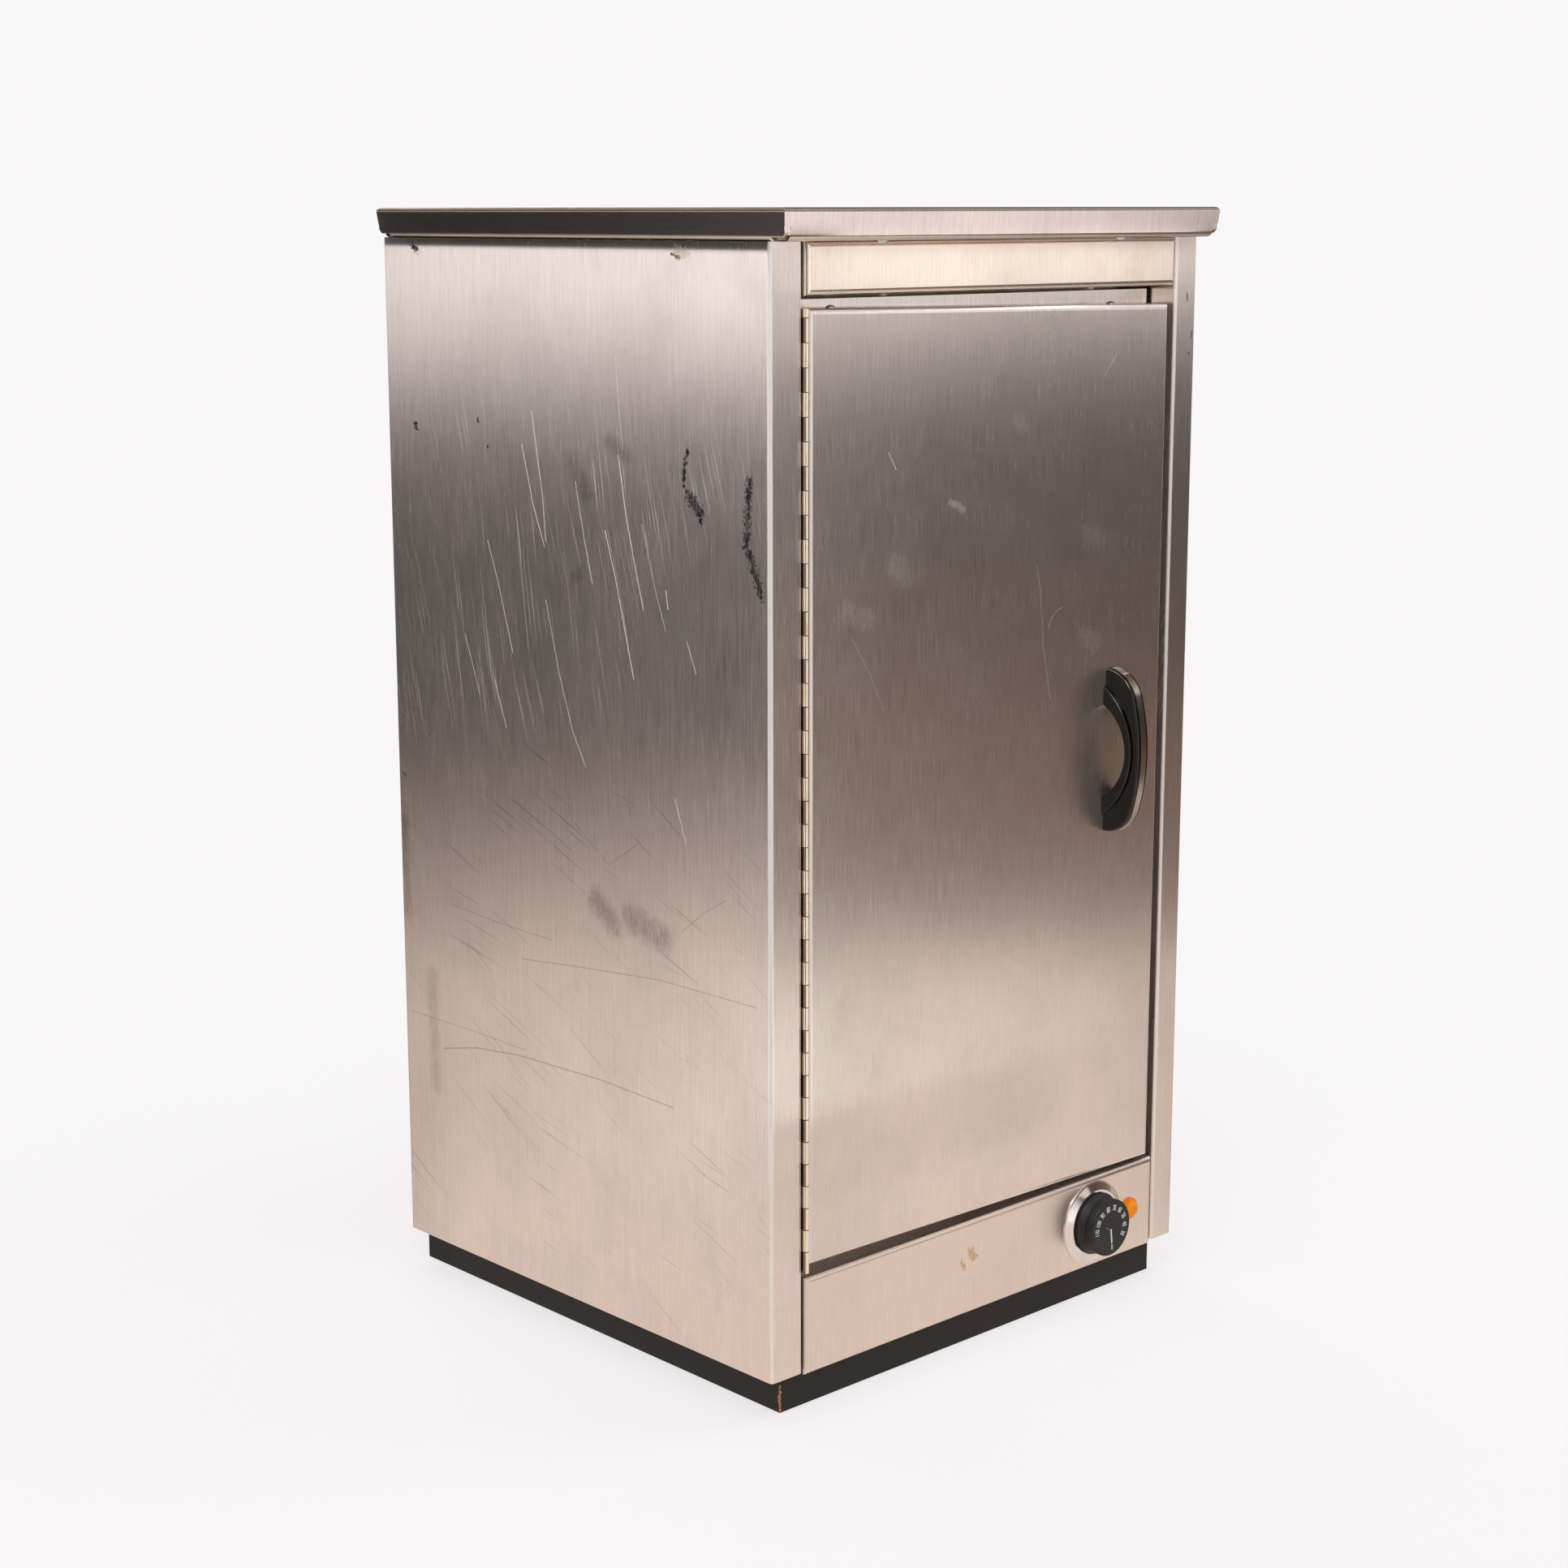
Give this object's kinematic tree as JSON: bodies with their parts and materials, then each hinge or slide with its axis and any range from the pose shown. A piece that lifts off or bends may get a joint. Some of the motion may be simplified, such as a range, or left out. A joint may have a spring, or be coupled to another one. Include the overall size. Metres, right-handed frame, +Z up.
{
  "type": "plate warmer cabinet",
  "caption": "Upright heated cupboard in brushed steel with a hinged door, bow handle, overhanging worktop, thermostat knob, pilot lamp and black plinth.",
  "frame": {"origin": "on the floor, under the middle of the cabinet's outline including the handle", "axes": "+Z up, -Y towards the person who opens the door, +X to that person's right"},
  "size_m": [0.45, 0.4728, 0.85],
  "materials": {
    "brushed_steel": "vertically brushed, satin",
    "liner_steel": "bright mill finish",
    "zinc_steel": "zinc plated, matte",
    "brass": "pale brass, satin",
    "black_gloss": "glossy black",
    "black_matte": "matte black with white numbers",
    "black_laminate": "black laminate over chipboard",
    "chipboard": "raw chipboard",
    "chrome": "polished",
    "amber_lens": "clear amber",
    "mineral_wool": "matte mineral wool",
    "seal_rubber": "matte",
    "element_metal": "dark oxidised sheath",
    "white_plastic": "off-white",
    "magnet_black": "dark ferrite",
    "copper": "copper, dull"
  },
  "bodies": {
    "cabinet": {"left_side_panel": "brushed_steel", "right_side_panel": "brushed_steel", "back_panel": "zinc_steel", "base_pan": "zinc_steel", "worktop": "brushed_steel", "worktop_core": "chipboard", "top_fascia": "brushed_steel", "fascia_hangers": "zinc_steel", "fascia_screws": "zinc_steel", "worktop_screws": "zinc_steel", "back_panel_screws": "zinc_steel", "control_panel": "brushed_steel", "plinth_front_board": "black_laminate", "plinth_back_board": "black_laminate", "plinth_left_board": "black_laminate", "plinth_right_board": "black_laminate", "left_liner": "liner_steel", "right_liner": "liner_steel", "back_liner": "liner_steel", "ceiling_pan": "brushed_steel", "floor_pan": "liner_steel", "left_insulation": "mineral_wool", "right_insulation": "mineral_wool", "back_insulation": "mineral_wool", "top_insulation": "mineral_wool", "left_shelf_runners": "liner_steel", "right_shelf_runners": "liner_steel", "lower_shelf": "chrome", "middle_shelf": "chrome", "upper_shelf": "chrome", "thermostat_sensor": "copper", "sensor_clips": "liner_steel", "catch_holder": "white_plastic", "catch_magnet": "magnet_black", "hinge_frame_leaf": "brass", "hinge_pin": "brass", "frame_leaf_screws": "zinc_steel", "thermostat_body": "white_plastic", "thermostat_screws": "zinc_steel", "thermostat_bezel": "chrome", "pilot_lens": "amber_lens", "pilot_holder": "black_matte", "heating_element": "element_metal", "element_brackets": "zinc_steel", "heat_shield": "zinc_steel", "terminal_block": "white_plastic", "cable_gland": "seal_rubber"},
    "door": {"door_skin": "brushed_steel", "door_liner": "liner_steel", "door_insulation": "mineral_wool", "door_seal": "seal_rubber", "door_screws": "zinc_steel", "handle": "black_gloss", "handle_strip": "chrome", "handle_screws": "zinc_steel", "hinge_door_leaf": "brass", "door_leaf_screws": "zinc_steel", "strike_plate": "zinc_steel"},
    "thermostat_knob": {"thermostat_knob": "black_matte", "thermostat_spindle": "zinc_steel"}
  },
  "joints": [
    {"name": "door_hinge", "type": "hinge", "parent": "cabinet", "child": "door", "pos_m": [-0.1897, -0.2026, 0.4447], "axis": [0, 0, -1], "range_deg": [0, 175]},
    {"name": "thermostat_turn", "type": "hinge", "parent": "cabinet", "child": "thermostat_knob", "pos_m": [0.1219, -0.2031, 0.0648], "axis": [0, -1, 0], "range_deg": [-4, 271]}
  ]
}
